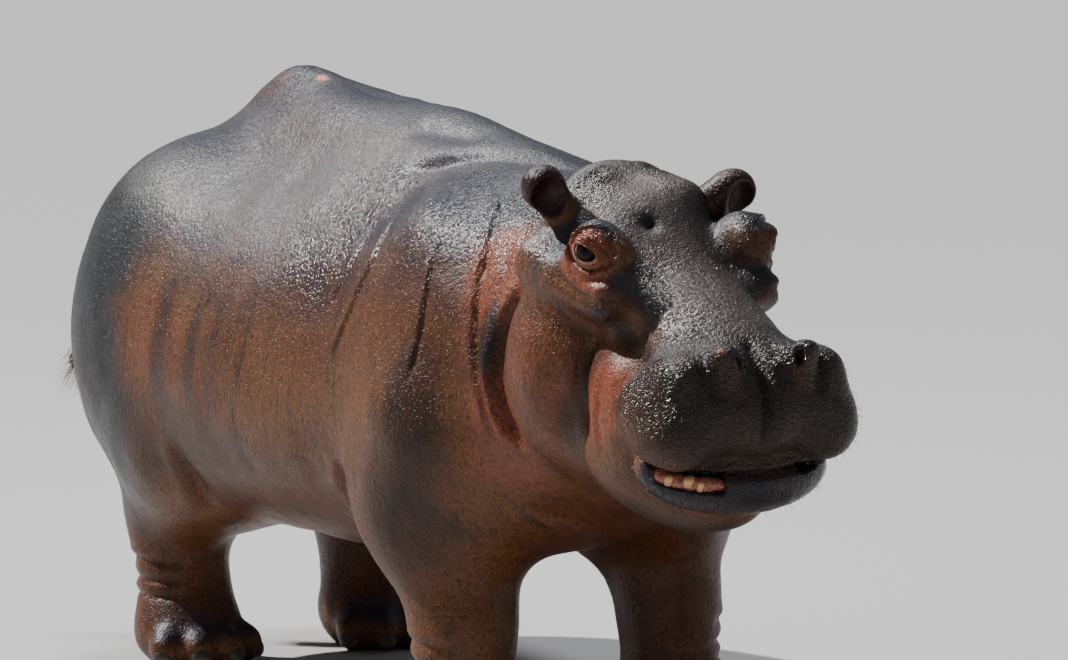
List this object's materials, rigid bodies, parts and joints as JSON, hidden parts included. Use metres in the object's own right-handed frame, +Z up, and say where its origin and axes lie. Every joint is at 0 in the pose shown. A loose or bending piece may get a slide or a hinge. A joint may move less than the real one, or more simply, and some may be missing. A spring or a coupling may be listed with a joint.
{
  "type": "hippopotamus, life-size still model",
  "caption": "Life-size still model of a hippopotamus standing on four short legs with its broad head held low and its mouth just parted.",
  "frame": {"origin": "on the floor, under the centre of the whole animal's box", "axes": "+X forward, +Y to the animal's left, +Z up"},
  "size_m": [3.4176, 1.0496, 1.5022],
  "materials": {
    "hide": "wet hide, slate grey on the back, red-brown on flanks and cheeks, fine wrinkles",
    "nail": "smooth dark horn",
    "eye": "wet, dark brown with a black pupil",
    "tooth": "stained ivory, glossy"
  },
  "bodies": {
    "root": {"trunk": "hide", "neck": "hide", "tail": "hide", "head": "hide", "lower_jaw": "hide", "ear_right": "hide", "ear_left": "hide", "foreleg_right": "hide", "foreleg_left": "hide", "hindleg_right": "hide", "hindleg_left": "hide", "forefoot_right": "hide", "forefoot_left": "hide", "hindfoot_right": "hide", "hindfoot_left": "hide", "forenail_right_1": "nail", "forenail_right_2": "nail", "forenail_right_3": "nail", "forenail_right_4": "nail", "forenail_left_1": "nail", "forenail_left_2": "nail", "forenail_left_3": "nail", "forenail_left_4": "nail", "hindnail_right_1": "nail", "hindnail_right_2": "nail", "hindnail_right_3": "nail", "hindnail_right_4": "nail", "hindnail_left_1": "nail", "hindnail_left_2": "nail", "hindnail_left_3": "nail", "hindnail_left_4": "nail", "eye_right": "eye", "eye_left": "eye", "teeth_right": "tooth", "teeth_left": "tooth"}
  },
  "joints": []
}
